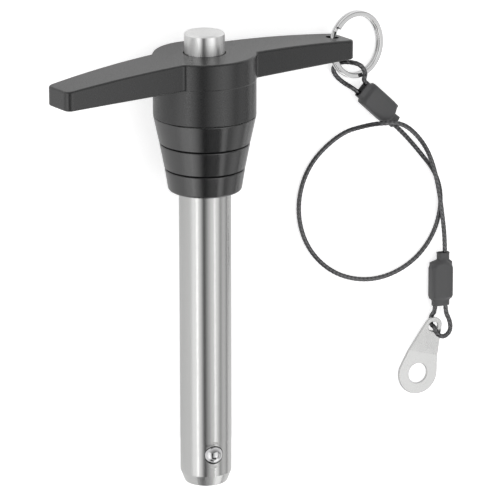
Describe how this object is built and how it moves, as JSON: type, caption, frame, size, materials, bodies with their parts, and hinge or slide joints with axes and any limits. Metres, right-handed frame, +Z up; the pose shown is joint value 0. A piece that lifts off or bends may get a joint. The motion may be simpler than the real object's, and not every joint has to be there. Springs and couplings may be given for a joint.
{
  "type": "ball lock pin",
  "caption": "T-handle quick-release pin: a push button draws locking balls into its shank, with a coated wire lanyard on a split ring and a fixing tab",
  "frame": {"origin": "on the surface that the pin lies on, under the middle of the box of pin and split ring", "axes": "+Y runs along the pin toward the button, +X toward the wing with the ring, +Z up"},
  "size_m": [0.143, 0.1438, 0.0328],
  "materials": {
    "anodised_handle": "black satin anodised aluminium",
    "anodised_collar": "black satin anodised aluminium",
    "shank_steel": "ground stainless steel",
    "button_steel": "turned stainless steel",
    "spindle_steel": "ground stainless steel",
    "spring_steel": "drawn spring wire",
    "ball_steel": "polished bearing steel",
    "ring_steel": "bright stainless wire",
    "cable_coating": "black nylon-coated wire rope",
    "ferrule_metal": "crimped aluminium",
    "shrink_tube": "dark grey heat-shrink tube",
    "tab_steel": "stamped bright stainless sheet"
  },
  "bodies": {
    "pin": {"t_handle": "anodised_handle", "shoulder_collar": "anodised_collar", "shank": "shank_steel", "return_spring": "spring_steel"},
    "plunger": {"release_button": "button_steel", "spindle": "spindle_steel"},
    "first_ball": {"ball_1": "ball_steel"},
    "second_ball": {"ball_2": "ball_steel"},
    "lanyard": {"split_ring": "ring_steel", "lanyard_cable": "cable_coating", "upper_ferrule": "ferrule_metal", "upper_shrink_sleeve": "shrink_tube", "lower_ferrule": "ferrule_metal", "lower_shrink_sleeve": "shrink_tube"},
    "tab": {"end_tab": "tab_steel"}
  },
  "joints": [
    {"name": "button_press", "type": "slide", "parent": "pin", "child": "plunger", "axis": [0, -0.9984, -0.0566], "range_m": [0, 0.004], "stiffness_N_per_m": 2000, "springref_m": -0.005, "deforming": ["return_spring"]},
    {"name": "ball_1_slide", "type": "slide", "parent": "pin", "child": "first_ball", "axis": [0.0885, 0.0564, -0.9945], "range_m": [0, 0.0016]},
    {"name": "ball_2_slide", "type": "slide", "parent": "pin", "child": "second_ball", "axis": [-0.0885, -0.0564, 0.9945], "range_m": [0, 0.0016]},
    {"name": "ring_swing", "type": "hinge", "parent": "pin", "child": "lanyard", "pos_m": [0.04038, 0.06005, 0.00637], "axis": [0, -0.9984, -0.0566], "range_deg": [0, 110]},
    {"name": "tab_swivel", "type": "hinge", "parent": "lanyard", "child": "tab", "pos_m": [0.07604, -0.035, 0.00236], "axis": [-0.0588, -0.1905, 0.9799], "range_deg": [-30, 30]}
  ],
  "couplings": [
    {"joint": "ball_1_slide", "follows": "button_press", "ratio": 0.4},
    {"joint": "ball_2_slide", "follows": "button_press", "ratio": 0.4}
  ]
}
